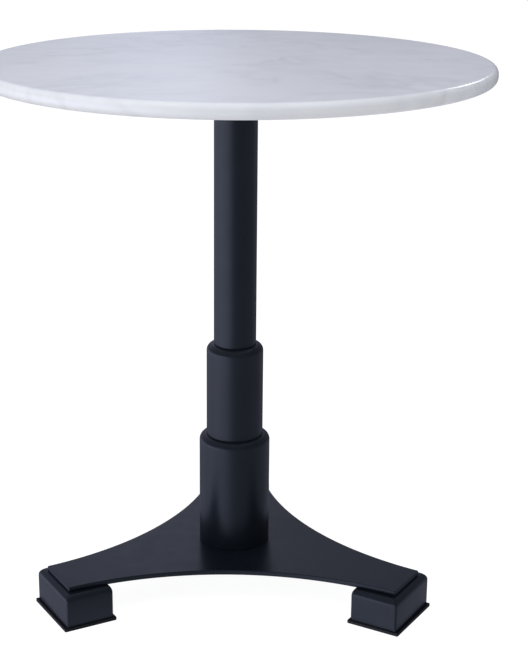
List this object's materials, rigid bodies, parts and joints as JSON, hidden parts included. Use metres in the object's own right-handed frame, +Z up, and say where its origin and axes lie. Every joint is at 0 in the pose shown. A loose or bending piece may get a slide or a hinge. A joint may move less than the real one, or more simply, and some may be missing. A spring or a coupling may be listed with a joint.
{
  "type": "bistro table",
  "caption": "Round marble-topped bistro table on a stepped black steel column with a flat three-armed base and box feet.",
  "frame": {"origin": "on the floor, on the column's axis, at the centre of the base", "axes": "+Z up, +Y towards the rear foot, +X to the right when seen from the front, between the two front feet"},
  "size_m": [0.7, 0.7, 0.76],
  "materials": {
    "marble_top": "honed and polished white marble with faint cloudy grey veins",
    "top_spider": "semi-gloss black powder coat, slightly blue, fine orange peel",
    "head_boss": "semi-gloss black powder coat, slightly blue, fine orange peel",
    "column_tube": "semi-gloss black powder coat, slightly blue, fine orange peel",
    "middle_sleeve": "semi-gloss black powder coat, slightly blue, fine orange peel",
    "lower_sleeve": "semi-gloss black powder coat, slightly blue, fine orange peel",
    "base_plate": "semi-gloss black powder coat, slightly blue, fine orange peel",
    "foot_spigot": "semi-gloss black powder coat, slightly blue, fine orange peel",
    "middle_top_bush": "natural white nylon",
    "middle_bottom_bush": "natural white nylon",
    "lower_top_bush": "natural white nylon",
    "lower_bottom_bush": "natural white nylon",
    "tie_rod": "bright zinc plated",
    "tie_rod_nut": "bright zinc plated",
    "tie_rod_washer": "bright zinc plated",
    "insert_front_left": "turned brass",
    "spider_screw_front_left": "bright zinc plated",
    "top_pad_front_left": "matt black rubber",
    "insert_front_right": "turned brass",
    "spider_screw_front_right": "bright zinc plated",
    "top_pad_front_right": "matt black rubber",
    "insert_rear_left": "turned brass",
    "spider_screw_rear_left": "bright zinc plated",
    "top_pad_rear_left": "matt black rubber",
    "insert_rear_right": "turned brass",
    "spider_screw_rear_right": "bright zinc plated",
    "top_pad_rear_right": "matt black rubber",
    "front_left_foot_box": "semi-gloss black powder coat, slightly blue, fine orange peel",
    "front_left_foot_sole": "moulded black plastic",
    "front_left_foot_screw_inner": "bright zinc plated",
    "front_left_foot_screw_outer": "bright zinc plated",
    "front_right_foot_box": "semi-gloss black powder coat, slightly blue, fine orange peel",
    "front_right_foot_sole": "moulded black plastic",
    "front_right_foot_screw_inner": "bright zinc plated",
    "front_right_foot_screw_outer": "bright zinc plated",
    "rear_foot_box": "semi-gloss black powder coat, slightly blue, fine orange peel",
    "rear_foot_sole": "moulded black plastic",
    "rear_foot_screw_inner": "bright zinc plated",
    "rear_foot_screw_outer": "bright zinc plated"
  },
  "bodies": {
    "root": {"marble_top": "marble_top", "top_spider": "top_spider", "head_boss": "head_boss", "column_tube": "column_tube", "middle_sleeve": "middle_sleeve", "lower_sleeve": "lower_sleeve", "base_plate": "base_plate", "foot_spigot": "foot_spigot", "middle_top_bush": "middle_top_bush", "middle_bottom_bush": "middle_bottom_bush", "lower_top_bush": "lower_top_bush", "lower_bottom_bush": "lower_bottom_bush", "tie_rod": "tie_rod", "tie_rod_nut": "tie_rod_nut", "tie_rod_washer": "tie_rod_washer", "insert_front_left": "insert_front_left", "spider_screw_front_left": "spider_screw_front_left", "top_pad_front_left": "top_pad_front_left", "insert_front_right": "insert_front_right", "spider_screw_front_right": "spider_screw_front_right", "top_pad_front_right": "top_pad_front_right", "insert_rear_left": "insert_rear_left", "spider_screw_rear_left": "spider_screw_rear_left", "top_pad_rear_left": "top_pad_rear_left", "insert_rear_right": "insert_rear_right", "spider_screw_rear_right": "spider_screw_rear_right", "top_pad_rear_right": "top_pad_rear_right", "front_left_foot_box": "front_left_foot_box", "front_left_foot_sole": "front_left_foot_sole", "front_left_foot_screw_inner": "front_left_foot_screw_inner", "front_left_foot_screw_outer": "front_left_foot_screw_outer", "front_right_foot_box": "front_right_foot_box", "front_right_foot_sole": "front_right_foot_sole", "front_right_foot_screw_inner": "front_right_foot_screw_inner", "front_right_foot_screw_outer": "front_right_foot_screw_outer", "rear_foot_box": "rear_foot_box", "rear_foot_sole": "rear_foot_sole", "rear_foot_screw_inner": "rear_foot_screw_inner", "rear_foot_screw_outer": "rear_foot_screw_outer"}
  },
  "joints": []
}
